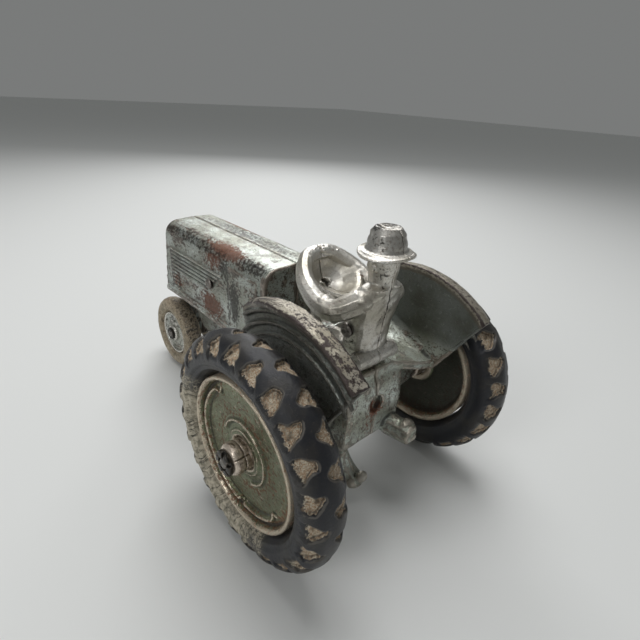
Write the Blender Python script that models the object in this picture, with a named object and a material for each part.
"""Cast-iron toy tractor with a seated driver, as the separate pieces it is put together from.

Two mirrored body castings and two mirrored driver castings meet on the centre plane and are
held by rivets. Four rubber-tyred wheels turn on two fixed steel axles.
Lengths below are millimetres; every mesh is scaled to metres when it is made.
+Z is up, the tractor faces -Y and its left side is +X. The origin is on the floor, in the
middle of the overall length.
"""
import math

import bmesh
import bpy
from mathutils import Matrix, Vector

MM = 0.001

# Wheels and axles
REAR_TYRE_R = 41.0
REAR_TYRE_WIDTH = 15.4
REAR_TRACK = 90.0
FRONT_TYRE_R = 20.3
FRONT_TYRE_WIDTH = 10.5
FRONT_TRACK = 24.0
WHEELBASE = 122.0
AXLE_R = 2.0
BORE_R = 2.3
PRESSED_R = 2.28

# The overall length is centred on the origin
REAR_AXLE_Y = (WHEELBASE + FRONT_TYRE_R - REAR_TYRE_R) / 2
FRONT_AXLE_Y = REAR_AXLE_Y - WHEELBASE

# Castings
GAP = 0.3
SEAM = GAP / 2
WALL = 2.5
HOOD_HALF_WIDTH = 15.5
HOOD_TOP = 85.8
HOOD_BOTTOM = 47.4
HOOD_SHOULDER_R = 6.5
HOOD_CROWN = 0.8
HOOD_FRONT_Y = REAR_AXLE_Y - 122.6
HOOD_REAR_Y = REAR_AXLE_Y - 33.8
NOSE_RAKE = 3.2
CRANKCASE_HALF_WIDTH = 10.5
PEDESTAL_HALF_WIDTH = 5.6
HOUSING_HALF_WIDTH = 15.0
HOUSING_REAR_Y = REAR_AXLE_Y + 13.0
AXLE_BOSS_END = 36.6
DECK_TOP = 60.0
FENDER_X = 29.4
FENDER_R = 43.9
FENDER_FLANGE = 5.9
FENDER_CENTRE = (REAR_AXLE_Y + 2.4, 45.6)
FENDER_START = math.radians(46.0)
FENDER_END = math.radians(129.5)
LOUVRE_TOP = 72.5
LOUVRE_PITCH = 2.0
LONG_LOUVRES = 5
SHORT_LOUVRES = 5
RIB_PITCH = 2.4
RIBS_PER_HALF = 5
SOCKET_R = 3.4
SOCKET_DEPTH = 2.4
SOCKET_Z = 45.8

# Rivets
RIVET_R = 1.5
RIVET_HEAD_R = 2.6
RIVET_DOME = 1.3
HOOD_RIVET = (HOOD_REAR_Y - 42.0, 66.3)
HIP_RIVET = (REAR_AXLE_Y + 3.6, 75.0)
HIP_HALF_WIDTH = 8.6

# Driver and steering dish
TENON = (-3.0, REAR_AXLE_Y + 0.5, 3.0, REAR_AXLE_Y + 7.5)
TENON_DEPTH = 3.0
HEAD_Y = REAR_AXLE_Y + 8.8
HAT_Y = REAR_AXLE_Y + 9.2
HAT_BRIM_R = 9.1
SEAT_ROLL_R = 3.2
DISH_CENTRE = (0, REAR_AXLE_Y - 13.4, 89.2)
DISH_R = 11.0
DISH_TILT = math.radians(35)
DISH_DEPTH = 8.0
DISH_WALL = 1.7

# Hubs
HUB_R = 5.6
HUB_END = 9.2
COLLAR_R = 4.4
COLLAR_END = 11.2
WASHER_R = 3.5
WASHER_END = 5.7


def clear_scene():
    """Remove whatever the scene holds."""
    for item in list(bpy.data.objects):
        bpy.data.objects.remove(item, do_unlink=True)


def make_material(name, colour, roughness, metallic):
    """A plain Principled material for one sub-part."""
    mat = bpy.data.materials.new(name)
    mat.use_nodes = True
    shader = mat.node_tree.nodes["Principled BSDF"]
    shader.inputs["Base Color"].default_value = (*colour, 1.0)
    shader.inputs["Roughness"].default_value = roughness
    shader.inputs["Metallic"].default_value = metallic
    return mat


def finish(name, bm, mat=None, origin=(0.0, 0.0, 0.0), smooth=35.0):
    """Turn a bmesh in millimetres into an object in metres with its origin at a joint axis."""
    bmesh.ops.recalc_face_normals(bm, faces=bm.faces)
    shift = Vector(origin)
    for vert in bm.verts:
        vert.co = (vert.co - shift) * MM
    mesh = bpy.data.meshes.new(name)
    bm.to_mesh(mesh)
    bm.free()
    mesh.shade_smooth()
    mesh.set_sharp_from_angle(angle=math.radians(smooth))
    if mat:
        mesh.materials.append(mat)
    item = bpy.data.objects.new(name, mesh)
    item.location = shift * MM
    bpy.context.scene.collection.objects.link(item)
    return item


def combine(target, tools, operation):
    """Join or cut the target with closed tool objects, then drop the tools."""
    for tool in tools:
        step = target.modifiers.new("step", 'BOOLEAN')
        step.operation = operation
        step.solver = 'EXACT'
        step.object = tool
        bpy.context.view_layer.update()
        graph = bpy.context.evaluated_depsgraph_get()
        mesh = bpy.data.meshes.new_from_object(target.evaluated_get(graph))
        target.modifiers.remove(step)
        target.data = mesh
        bpy.data.objects.remove(tool, do_unlink=True)
    return target


def arc(centre, radius, start, end, steps):
    """Points on a circle from start to end, both included."""
    turn = [start + (end - start) * i / steps for i in range(steps + 1)]
    return [(centre[0] + radius * math.cos(a), centre[1] + radius * math.sin(a)) for a in turn]


def prism(outline, axis, low, high):
    """Extrude a closed outline along X (points are y, z) or along Y (points are x, z)."""
    bm = bmesh.new()

    def place(point, depth):
        if axis == "X":
            return (depth, point[0], point[1])
        return (point[0], depth, point[1])

    first = [bm.verts.new(place(p, low)) for p in outline]
    last = [bm.verts.new(place(p, high)) for p in outline]
    bm.faces.new(first)
    bm.faces.new(last)
    for i in range(len(outline)):
        j = (i + 1) % len(outline)
        bm.faces.new((first[i], first[j], last[j], last[i]))
    return bm


def turned(profile, segments, centre=(0.0, 0.0, 0.0), axis="X", phase=0.0):
    """Turn a closed profile of (along, radius) points; radius 0 becomes a single pole."""
    bm = bmesh.new()
    rings = []
    for along, radius in profile:
        ring = []
        for i in range(segments if radius > 1e-6 else 1):
            angle = 2 * math.pi * (i + phase) / segments
            a, b = radius * math.cos(angle), radius * math.sin(angle)
            offset = {"X": (along, a, b), "Y": (a, along, b), "Z": (a, b, along)}[axis]
            ring.append(bm.verts.new(Vector(centre) + Vector(offset)))
        rings.append(ring)
    for k in range(len(rings)):
        low, high = rings[k], rings[(k + 1) % len(rings)]
        if len(low) == 1 and len(high) == 1:
            continue
        for i in range(segments):
            j = (i + 1) % segments
            corners = []
            for vert in (low[i % len(low)], low[j % len(low)], high[j % len(high)], high[i % len(high)]):
                if vert not in corners:
                    corners.append(vert)
            bm.faces.new(corners)
    return bm


def cylinder(radius, low, high, segments, centre, axis="X"):
    """A closed cylinder along one axis."""
    return turned([(low, 0), (low, radius), (high, radius), (high, 0)], segments, centre, axis)


def loft(sections):
    """Skin closed rings of equal length and cap both ends."""
    bm = bmesh.new()
    rings = [[bm.verts.new(p) for p in ring] for ring in sections]
    bm.faces.new(rings[0])
    bm.faces.new(rings[-1])
    for low, high in zip(rings, rings[1:]):
        for i in range(len(low)):
            j = (i + 1) % len(low)
            bm.faces.new((low[i], low[j], high[j], high[i]))
    return bm


def rectangle(box, grow):
    """Corners of a rectangle (low x, low y, high x, high y), grown on every side."""
    x0, y0, x1, y1 = box[0] - grow, box[1] - grow, box[2] + grow, box[3] + grow
    return [(x0, y0), (x1, y0), (x1, y1), (x0, y1)]


def upright(outline, low, high):
    """Extrude a closed outline (points are x, y) upwards."""
    return loft([[(x, y, z) for x, y in outline] for z in (low, high)])


def oval(centre, half_x, half_y, steps, power=2.6):
    """A level ring with slightly squared sides."""
    ring = []
    for i in range(steps):
        angle = 2 * math.pi * i / steps
        c, s = math.cos(angle), math.sin(angle)
        x = math.copysign(abs(c) ** (2 / power), c) * half_x
        y = math.copysign(abs(s) ** (2 / power), s) * half_y
        ring.append((centre[0] + x, centre[1] + y, centre[2]))
    return ring


def smooth_path(points, steps):
    """Catmull-Rom points through a short list of route points."""
    route = [Vector(p) for p in points]
    route = [2 * route[0] - route[1]] + route + [2 * route[-1] - route[-2]]
    path = []
    for i in range(1, len(route) - 2):
        p0, p1, p2, p3 = route[i - 1:i + 3]
        for k in range(steps):
            t = k / steps
            path.append(0.5 * (2 * p1 + (p2 - p0) * t + (2 * p0 - 5 * p1 + 4 * p2 - p3) * t * t
                               + (3 * p1 - p0 - 3 * p2 + p3) * t ** 3))
    path.append(route[-2])
    return path


def tube(path, radii, sides, flatten=1.0):
    """Sweep an oval along a path; radii has one value for each path point."""
    sections = []
    for i, point in enumerate(path):
        ahead = path[min(i + 1, len(path) - 1)] - path[max(i - 1, 0)]
        turn = ahead.normalized().to_track_quat('Z', 'Y').to_matrix()
        ring = []
        for k in range(sides):
            angle = 2 * math.pi * k / sides
            local = Vector((radii[i] * math.cos(angle), flatten * radii[i] * math.sin(angle), 0))
            ring.append(point + turn @ local)
        sections.append(ring)
    return loft(sections)


def mirror_bm(bm, side):
    """Mirror a left-hand bmesh to the right when side is -1."""
    if side < 0:
        bmesh.ops.scale(bm, vec=(-1, 1, 1), verts=bm.verts)
    return bm


# ---------------------------------------------------------------- body castings

def hood_outline(inset, low):
    """Half section of the hood (x, z), from the seam over the shoulder to the lower edge."""
    top = HOOD_TOP - inset
    side = HOOD_HALF_WIDTH - inset
    centre = (HOOD_HALF_WIDTH - HOOD_SHOULDER_R, HOOD_TOP - HOOD_CROWN - HOOD_SHOULDER_R)
    shoulder = arc(centre, HOOD_SHOULDER_R - inset, math.radians(85), 0, 5)
    if inset:
        return [(-1.0, low), (-1.0, top)] + shoulder + [(side, low)]
    lip = [(side, low + 3.2), (side + 0.8, low + 2.4), (side + 0.8, low)]
    return [(SEAM, low), (SEAM, top)] + shoulder + lip


def rake_nose(bm):
    """Lean whatever stands at the nose back towards its top."""
    for vert in bm.verts:
        if vert.co.y < HOOD_FRONT_Y + 1:
            vert.co.y += NOSE_RAKE * (vert.co.z - HOOD_BOTTOM) / (HOOD_TOP - HOOD_BOTTOM)


def hood(side):
    """Hood shell with its raked nose, louvres, and the recess in front of the driver."""
    bm = prism(hood_outline(0, HOOD_BOTTOM), "Y", HOOD_FRONT_Y, HOOD_REAR_Y)
    rake_nose(bm)
    nose_edges = [e for e in bm.edges if all(v.co.y < HOOD_FRONT_Y + 5 for v in e.verts)]
    outer = [e for e in nose_edges if max(v.co.x for v in e.verts) > 1]
    rim = [e for e in outer if max(v.co.z for v in e.verts) > 51]
    bmesh.ops.bevel(bm, geom=rim, offset=2.2, segments=2, profile=0.5, affect='EDGES',
                    clamp_overlap=True)
    return finish("hood", mirror_bm(bm, side))


def louvres(side):
    """Raised louvres on the hood side: a frame bar, long bars under it, then short ones."""
    bars = []
    front = HOOD_FRONT_Y + 7.0
    for k in range(1 + LONG_LOUVRES + SHORT_LOUVRES):
        z = LOUVRE_TOP - LOUVRE_PITCH * k
        height = 0.7 if k == 0 else 0.5
        rear = HOOD_REAR_Y - 32.0 - 2.6 * k
        if k > LONG_LOUVRES:
            rear = front + 9.0
        section = [(HOOD_HALF_WIDTH - 0.6, z - height),
                   (HOOD_HALF_WIDTH + 0.55, z - height * 0.6),
                   (HOOD_HALF_WIDTH + 0.1, z + height),
                   (HOOD_HALF_WIDTH - 0.6, z + height)]
        bars.append(finish("louvre", mirror_bm(prism(section, "Y", front, rear), side)))
    return bars


def grille_ribs(side):
    """Upright ribs on the nose."""
    ribs = []
    low, high = HOOD_BOTTOM + 6.0, HOOD_TOP - 9.0
    for k in range(RIBS_PER_HALF):
        x = RIB_PITCH * (k + 0.7)
        outline = [(x - 0.6, low), (x + 0.6, low), (x + 0.6, high), (x - 0.6, high)]
        bm = prism(outline, "Y", HOOD_FRONT_Y - 0.6, HOOD_FRONT_Y + 0.9)
        rake_nose(bm)
        ribs.append(finish("rib", mirror_bm(bm, side)))
    return ribs


def pedestal(side):
    """Column under the nose that carries the front axle."""
    y = FRONT_AXLE_Y
    boss = arc((y, FRONT_TYRE_R), 5.2, 0, -math.pi, 8)
    outline = [(y - 8.5, HOOD_BOTTOM + 2), (y + 13, HOOD_BOTTOM + 2), (y + 7, 30)]
    outline += boss + [(y - 7, 30)]
    return finish("pedestal", mirror_bm(prism(outline, "X", SEAM, PEDESTAL_HALF_WIDTH), side))


def crankcase(side):
    """Engine block and gearbox below the hood."""
    y = FRONT_AXLE_Y
    outline = [(y + 15, HOOD_BOTTOM + 2), (y + 24, 37), (y + 27, 33.5), (REAR_AXLE_Y - 18, 32.0),
               (REAR_AXLE_Y - 12, 30.0), (REAR_AXLE_Y - 12, HOOD_BOTTOM + 2)]
    return finish("crankcase", mirror_bm(prism(outline, "X", SEAM, CRANKCASE_HALF_WIDTH), side))


def housing_outline(inset):
    """Side view (y, z) of the rear axle housing."""
    rear = HOUSING_REAR_Y - inset
    front = REAR_AXLE_Y - 40.0 + inset
    return [(front, HOOD_BOTTOM + inset + 0.4), (REAR_AXLE_Y - 24, HOOD_BOTTOM - 2 + inset),
            (REAR_AXLE_Y - 15, 30.0 + inset), (REAR_AXLE_Y - 8, 27.0 + inset),
            (REAR_AXLE_Y + 8, 27.0 + inset), (rear, 31.0 + inset), (rear + 1.0, 44.0),
            (rear, 54.0), (rear - 2.5, DECK_TOP - 0.6 - inset), (front, DECK_TOP - 0.6 - inset)]


def housing(side):
    """Rear axle housing with a chamfered flank."""
    bm = prism(housing_outline(0), "X", SEAM, HOUSING_HALF_WIDTH)
    flank = [e for e in bm.edges if all(v.co.x > HOUSING_HALF_WIDTH - 0.1 for v in e.verts)]
    bmesh.ops.bevel(bm, geom=flank, offset=2.0, segments=2, profile=0.5, affect='EDGES')
    return finish("housing", mirror_bm(bm, side))


def axle_boss(side):
    """Tapered tube that carries the rear axle out to the wheel."""
    profile = [(8.0, 0), (8.0, 7.2), (20.0, 6.4), (AXLE_BOSS_END, 4.8), (AXLE_BOSS_END, 0)]
    bm = turned(profile, 24, (0, REAR_AXLE_Y, REAR_TYRE_R))
    return finish("boss", mirror_bm(bm, side))


def deck_height(x, t):
    """Top of the deck: level in the middle, dropping to the rear corner, rising into the fender."""
    reach = max(0.0, (x - 9.0) / (FENDER_X - 9.0))
    fillet = max(0.0, (x - 21.0) / (FENDER_X - 21.0)) ** 2
    return DECK_TOP - 7.0 * reach * t ** 2 + 4.5 * fillet * (1 - 0.7 * t)


def deck(side):
    """Platform that joins the housing to the fender."""
    columns = [SEAM, 9.0, 15.0, 21.0, 24.0, 27.0, FENDER_X + 1.4]
    rows = 6
    front = REAR_AXLE_Y - 24.0
    bm = bmesh.new()
    top = []
    bottom = []
    for x in columns:
        rear = HOUSING_REAR_Y - 1.2 + max(0.0, x - 12.0) * 0.22
        upper = []
        lower = []
        for k in range(rows + 1):
            t = k / rows
            y = front + (rear - front) * t
            z = deck_height(min(x, FENDER_X), t)
            upper.append(bm.verts.new((x, y, z)))
            lower.append(bm.verts.new((x, y, z - 3.4)))
        top.append(upper)
        bottom.append(lower)
    last = len(columns) - 1
    for i in range(last):
        for k in range(rows):
            bm.faces.new((top[i][k], top[i + 1][k], top[i + 1][k + 1], top[i][k + 1]))
            bm.faces.new((bottom[i][k], bottom[i][k + 1], bottom[i + 1][k + 1], bottom[i + 1][k]))
        for k in (0, rows):
            bm.faces.new((top[i][k], bottom[i][k], bottom[i + 1][k], top[i + 1][k]))
    for k in range(rows):
        for i in (0, last):
            bm.faces.new((top[i][k], top[i][k + 1], bottom[i][k + 1], bottom[i][k]))
    return finish("deck", mirror_bm(bm, side))


def fender_wall(side):
    """Upright inner plate of the rear fender."""
    outline = arc(FENDER_CENTRE, FENDER_R - 0.7, FENDER_START, FENDER_END, 14)
    outline += [(REAR_AXLE_Y - 19, 56.5), (REAR_AXLE_Y + 10, 51.5), (REAR_AXLE_Y + 15.5, 50.0)]
    low, high = FENDER_X + 0.1, FENDER_X + 2.3
    return finish("wall", mirror_bm(prism(outline, "X", low, high), side))


def fender_flange(side):
    """Band that turns outwards over the tyre and tapers to a point at the front."""
    steps = 16
    sections = []
    for i in range(steps + 1):
        angle = FENDER_START + (FENDER_END - FENDER_START) * i / steps
        width = min(1.0, 0.28 + 1.8 * (1 - i / steps)) * FENDER_FLANGE
        ring = []
        for x, r in ((FENDER_X, FENDER_R - 2.2), (FENDER_X + width, FENDER_R - 2.6),
                     (FENDER_X + width, FENDER_R - 0.9), (FENDER_X + width * 0.6, FENDER_R - 0.1),
                     (FENDER_X, FENDER_R)):
            y = FENDER_CENTRE[0] + r * math.cos(angle)
            ring.append((x, y, FENDER_CENTRE[1] + r * math.sin(angle)))
        sections.append(ring)
    return finish("flange", mirror_bm(loft(sections), side))


def hitch_leg():
    """Curved leg with a flared foot under the left half."""
    y = REAR_AXLE_Y
    path = smooth_path([(6.0, y + 7.0, 34.0), (6.2, y + 5.0, 27.0), (5.8, y + 4.2, 20.0),
                        (4.8, y + 7.0, 13.0), (3.8, y + 12.0, 8.0)], 3)
    count = len(path) - 1
    radii = [4.6 - 1.2 * math.sin(math.pi * i / count) for i in range(count + 1)]
    return finish("leg", tube(path, radii, 8, 0.75))


def broken_peg():
    """Stub left of the matching leg on the right half."""
    y = REAR_AXLE_Y
    path = [Vector((-9.5, y + 8.0, 33.0)), Vector((-10.0, y + 14.0, 32.0)),
            Vector((-11.5, y + 23.5, 31.5))]
    return finish("peg", tube(path, [4.6, 4.8, 4.2], 8, 0.95))


def body_cutters(side):
    """What is cut out of a half casting: hollows, socket, bores, rivet hole and driver's slot."""
    cavity = prism(hood_outline(WALL, HOOD_BOTTOM + WALL), "Y", HOOD_FRONT_Y + 5.6, HOOD_REAR_Y - 9.6)
    recess = prism(hood_outline(WALL, DECK_TOP - 0.6), "Y", HOOD_REAR_Y - 7.2, HOOD_REAR_Y + 1.0)
    gearcase = prism(housing_outline(3.0), "X", -1.0, HOUSING_HALF_WIDTH - 3.0)
    socket = cylinder(SOCKET_R, HOUSING_REAR_Y + 1.0 - SOCKET_DEPTH, HOUSING_REAR_Y + 4.0, 20,
                      (0, 0, SOCKET_Z), "Y")
    rear_bore = cylinder(BORE_R, -2.0, AXLE_BOSS_END + 1.0, 24, (0, REAR_AXLE_Y, REAR_TYRE_R))
    front_bore = cylinder(BORE_R, -2.0, 10.0, 24, (0, FRONT_AXLE_Y, FRONT_TYRE_R))
    rivet = cylinder(RIVET_R + GAP, -2.0, 20.0, 16, (0, HOOD_RIVET[0], HOOD_RIVET[1]))
    slot = upright(rectangle(TENON, GAP), DECK_TOP - 8.0, DECK_TOP + 3.0)
    return [cavity, recess, gearcase, socket, rear_bore, front_bore, rivet, slot]


def body_half(name, side, mat):
    """One half casting: hood, block, housing, deck and fender in one piece."""
    body = hood(side)
    body.name = name
    combine(body, louvres(side) + grille_ribs(side), 'UNION')
    extras = [hitch_leg()] if side > 0 else [broken_peg()]
    combine(body, [crankcase(side), pedestal(side), housing(side), deck(side), axle_boss(side),
                   fender_wall(side), fender_flange(side)] + extras, 'UNION')
    cutters = [finish("cutter", mirror_bm(c, side)) for c in body_cutters(side)]
    combine(body, cutters, 'DIFFERENCE')
    body.data.materials.clear()
    body.data.materials.append(mat)
    return body


# ---------------------------------------------------------------- driver castings

def torso():
    """Torso that narrows to the waist, with rounded shoulders."""
    rows = [(62.0, 8.6, 6.6, 4.2), (68.0, 8.2, 6.0, 4.6), (74.0, 8.2, 5.8, 5.4),
            (79.0, 8.6, 5.5, 6.2), (86.0, 10.0, 5.2, 7.6), (89.5, 9.6, 4.8, 8.2),
            (91.6, 7.4, 4.0, 8.9), (92.6, 4.8, 3.2, 9.2)]
    return loft([oval((0, REAR_AXLE_Y + mid, z), half_x, half_y, 20)
                 for z, half_x, half_y, mid in rows])


def head():
    """Neck and head under the hat."""
    rows = [(91.0, 4.6, 4.4), (94.0, 4.5, 4.4), (97.0, 4.9, 5.0), (100.0, 5.1, 5.3),
            (103.6, 5.0, 5.2)]
    return loft([oval((0, HEAD_Y, z), half_x, half_y, 16, 2.2) for z, half_x, half_y in rows])


def nose():
    """A small plain nose."""
    y = HEAD_Y - 4.4
    rows = [(96.6, 0.9, 0.6), (97.4, 0.9, 1.3), (100.2, 0.5, 0.8)]
    return loft([oval((0, y, z), half_x, half_y, 6, 2.0) for z, half_x, half_y in rows])


def hat():
    """Round-brimmed hat with a dented crown."""
    profile = [(101.0, 0), (101.0, 5.0), (101.5, HAT_BRIM_R - 0.7), (102.2, HAT_BRIM_R),
               (103.1, HAT_BRIM_R - 0.4), (103.7, 6.7), (106.0, 6.1), (109.0, 5.6), (111.0, 4.0),
               (110.6, 1.6), (110.0, 0)]
    return turned(profile, 24, (0, HAT_Y, 0), "Z")


def seat_roll():
    """Round cross bar at the back of the seat."""
    profile = [(-10.6, 0), (-10.6, 2.0), (-9.6, SEAT_ROLL_R), (9.6, SEAT_ROLL_R), (10.6, 2.0),
               (10.6, 0)]
    return turned(profile, 14, (0, REAR_AXLE_Y + 9.4, 65.0))


def seat_block():
    """Base of the driver that stands on the deck."""
    y = REAR_AXLE_Y + 3.8
    rows = [(DECK_TOP + GAP, 7.6, 6.2), (66.0, 8.2, 6.4)]
    return loft([oval((0, y, z), half_x, half_y, 16, 4.0) for z, half_x, half_y in rows])


def leg(side):
    """Thigh and shin of the seated driver."""
    y = REAR_AXLE_Y
    path = smooth_path([(3.6 * side, y + 2, 66.0), (4.6 * side, y - 5.5, 67.5),
                        (4.8 * side, y - 10.5, 64.8), (4.6 * side, y - 13.0, 63.2)], 3)
    return tube(path, [3.6, 3.6, 3.5, 3.4, 3.3, 3.2, 3.1, 3.0, 2.8, 2.6], 10)


def arm(side):
    """Arm bent at the elbow, its hand closed on the front of the steering dish."""
    y = REAR_AXLE_Y
    path = smooth_path([(7.4 * side, y + 7.4, 86.6), (13.0 * side, y + 1.0, 82.4),
                        (13.8 * side, y - 6.8, 83.4), (12.0 * side, y - 15.2, 88.0),
                        (6.2 * side, y - 21.4, 92.6), (0.4 * side, y - 22.4, 93.8)], 3)
    radii = [4.3 - 1.7 * i / (len(path) - 1) for i in range(len(path))]
    return tube(path, radii, 10)


def steering_dish():
    """Concave steering wheel, tilted towards the driver, on its column."""
    rim, deep, thick = DISH_R, DISH_DEPTH, DISH_WALL
    profile = [(0.6, rim), (-0.2, rim - 1.2), (-deep * 0.55, rim * 0.55), (-deep, 1.2),
               (-deep - thick, 1.2), (-deep * 0.6 - thick, rim * 0.62), (-1.6, rim + 0.9), (0.2, rim + 1.0)]
    bm = turned(profile, 24, (0, 0, 0), "Z")
    tilt = Matrix.Rotation(-DISH_TILT, 4, 'X')
    place = Matrix.Translation(Vector(DISH_CENTRE)) @ tilt
    bmesh.ops.transform(bm, matrix=place, verts=bm.verts)
    return bm


def steering_column():
    """Post from the bottom of the dish down to the deck in front of the driver."""
    y = REAR_AXLE_Y
    path = [Vector((0, y - 18.6, 84.4)), Vector((0, y - 20.6, 76.0)),
            Vector((0, y - 22.0, DECK_TOP + GAP))]
    return tube(path, [3.0, 2.4, 3.2], 12)


def driver_half(name, side, mat):
    """One half casting of the driver, with half of the steering dish."""
    half = finish(name, torso())
    tenon = upright(rectangle(TENON, 0.0), DECK_TOP - TENON_DEPTH, DECK_TOP + 3.0)
    solids = [seat_block(), seat_roll(), head(), nose(), hat(), leg(side), arm(side),
              steering_dish(), steering_column(), tenon]
    combine(half, [finish("solid", s) for s in solids], 'UNION')
    far_half = upright([(-30, 0), (SEAM, 0), (SEAM, 100), (-30, 100)], DECK_TOP - 20, HOOD_TOP + 60)
    rivet = cylinder(RIVET_R + GAP, -20.0, 20.0, 16, (0, HIP_RIVET[0], HIP_RIVET[1]))
    cutters = [finish("cutter", mirror_bm(far_half, side)), finish("cutter", rivet)]
    combine(half, cutters, 'DIFFERENCE')
    half.data.materials.clear()
    half.data.materials.append(mat)
    return half


# ---------------------------------------------------------------- rivets, axles and wheels

def through_rivet(name, centre, half_length, mat):
    """Rivet right through both halves, with a domed head at each end."""
    end = half_length + RIVET_DOME
    shoulder = half_length + RIVET_DOME * 0.75
    profile = [(-end, 0), (-shoulder, RIVET_HEAD_R * 0.6), (-half_length, RIVET_HEAD_R),
               (-half_length, RIVET_R), (half_length, RIVET_R), (half_length, RIVET_HEAD_R),
               (shoulder, RIVET_HEAD_R * 0.6), (end, 0)]
    return finish(name, turned(profile, 16, (0, centre[0], centre[1])), mat, (0, centre[0], centre[1]))


def axle(name, y, z, half_length, mat):
    """Plain steel axle rod."""
    bm = cylinder(AXLE_R, -half_length, half_length, 24, (0, y, z))
    return finish(name, bm, mat, (0, y, z))


def tyre_section(radius, width, bead, points):
    """Closed section of a tyre (along, radius): elliptical crown and a flat bead."""
    half = width / 2
    middle = (radius + bead) / 2
    rise = (radius - bead) / 2
    section = []
    for i in range(points):
        angle = math.radians(-64) + math.radians(308) * i / (points - 1)
        section.append((half * math.cos(angle), middle + rise * math.sin(angle)))
    return section


def wheel_piece(name, bm, centre, side, mat):
    """Place a left-hand turned piece on its wheel centre, mirrored for the right side."""
    mirror_bm(bm, side)
    bmesh.ops.translate(bm, vec=centre, verts=bm.verts)
    return finish(name, bm, mat, centre)


def rear_wheel(label, side, mats):
    """Tyre, dished disc, hub sleeve and castellated axle end of one rear wheel."""
    centre = (side * REAR_TRACK / 2, REAR_AXLE_Y, REAR_TYRE_R)
    segments = 40
    flat = REAR_TYRE_R / math.cos(math.pi / segments)
    section = tyre_section(flat, REAR_TYRE_WIDTH, 27.0, 11)
    section.insert(6, (-1.6, flat))
    section[5] = (1.6, flat)
    tyre = turned(section, segments, phase=0.5)
    disc = turned([(5.3, 26.9), (5.6, 26.2), (4.9, 25.3), (3.2, 24.6), (3.4, 23.2), (2.4, 22.4),
                   (2.6, 13.0), (3.4, 11.6), (2.8, 10.6), (3.4, 7.2), (3.6, HUB_R + GAP),
                   (-3.0, HUB_R + GAP), (-3.0, 8.2), (0.6, 10.0), (0.6, 22.6), (-4.6, 25.0),
                   (-5.0, 26.9)], segments, phase=0.5)
    hub = turned([(-8.0, 4.0), (-8.0, BORE_R), (HUB_END, BORE_R), (HUB_END, 4.6), (8.4, 5.3),
                  (3.9, HUB_R), (-8.0, HUB_R)], 32)
    collar = turned([(HUB_END + GAP, PRESSED_R), (COLLAR_END, PRESSED_R), (COLLAR_END, 3.9),
                     (COLLAR_END - 0.4, COLLAR_R), (HUB_END + GAP, COLLAR_R)], 24)
    return [wheel_piece("rear_tyre_" + label, tyre, centre, side, mats["tyre"]),
            wheel_piece("rear_disc_" + label, disc, centre, side, mats["disc"]),
            wheel_piece("rear_hub_" + label, hub, centre, side, mats["hub"]),
            wheel_piece("rear_collar_" + label, collar, centre, side, mats["collar"])]


def front_wheel(label, side, mats):
    """Tyre, stepped disc and peened washer of one front wheel."""
    centre = (side * FRONT_TRACK / 2, FRONT_AXLE_Y, FRONT_TYRE_R)
    segments = 32
    flat = FRONT_TYRE_R / math.cos(math.pi / segments)
    section = tyre_section(flat, FRONT_TYRE_WIDTH, 12.2, 11)
    section.insert(6, (-1.6, flat))
    section[5] = (1.6, flat)
    tyre = turned(section, segments, phase=0.5)
    disc = turned([(3.4, 12.0), (3.6, 11.4), (2.4, 10.4), (2.2, 8.2), (3.2, 7.0), (3.4, 4.6),
                   (4.4, 3.9), (4.4, BORE_R), (-5.0, BORE_R), (-5.0, 4.6), (-1.0, 5.6), (-0.4, 9.0),
                   (-3.4, 12.0)], segments, phase=0.5)
    washer = turned([(WASHER_END - 1.0, PRESSED_R), (WASHER_END, PRESSED_R), (WASHER_END, 3.0),
                     (WASHER_END - 0.4, WASHER_R), (WASHER_END - 1.0, WASHER_R)], 20)
    return [wheel_piece("front_tyre_" + label, tyre, centre, side, mats["front_tyre"]),
            wheel_piece("front_disc_" + label, disc, centre, side, mats["front_disc"]),
            wheel_piece("front_washer_" + label, washer, centre, side, mats["collar"])]


def main():
    """Build every piece of the tractor."""
    clear_scene()
    mats = {
        "body": make_material("worn_silver_casting", (0.42, 0.42, 0.38), 0.5, 0.6),
        "driver": make_material("nickel_casting", (0.5, 0.5, 0.47), 0.32, 0.9),
        "steel": make_material("dark_steel", (0.2, 0.19, 0.18), 0.45, 0.9),
        "tyre": make_material("black_rubber", (0.035, 0.036, 0.04), 0.55, 0.0),
        "front_tyre": make_material("tan_rubber", (0.42, 0.36, 0.27), 0.75, 0.0),
        "disc": make_material("silver_disc", (0.4, 0.4, 0.34), 0.45, 0.7),
        "front_disc": make_material("front_silver_disc", (0.5, 0.5, 0.46), 0.35, 0.8),
        "hub": make_material("bronzed_hub", (0.4, 0.33, 0.24), 0.4, 0.9),
        "collar": make_material("blackened_collar", (0.05, 0.05, 0.05), 0.5, 0.7),
    }
    body_half("body_left", 1, mats["body"])
    body_half("body_right", -1, mats["body"])
    driver_half("driver_left", 1, mats["driver"])
    driver_half("driver_right", -1, mats["driver"])
    through_rivet("hood_rivet", HOOD_RIVET, HOOD_HALF_WIDTH + 1.0, mats["steel"])
    through_rivet("hip_rivet", HIP_RIVET, HIP_HALF_WIDTH + 0.4, mats["steel"])
    rear_reach = REAR_TRACK / 2 + COLLAR_END
    front_reach = FRONT_TRACK / 2 + WASHER_END + GAP
    axle("rear_axle", REAR_AXLE_Y, REAR_TYRE_R, rear_reach, mats["steel"])
    axle("front_axle", FRONT_AXLE_Y, FRONT_TYRE_R, front_reach, mats["steel"])
    for label, side in (("left", 1), ("right", -1)):
        rear_wheel(label, side, mats)
        front_wheel(label, side, mats)


main()
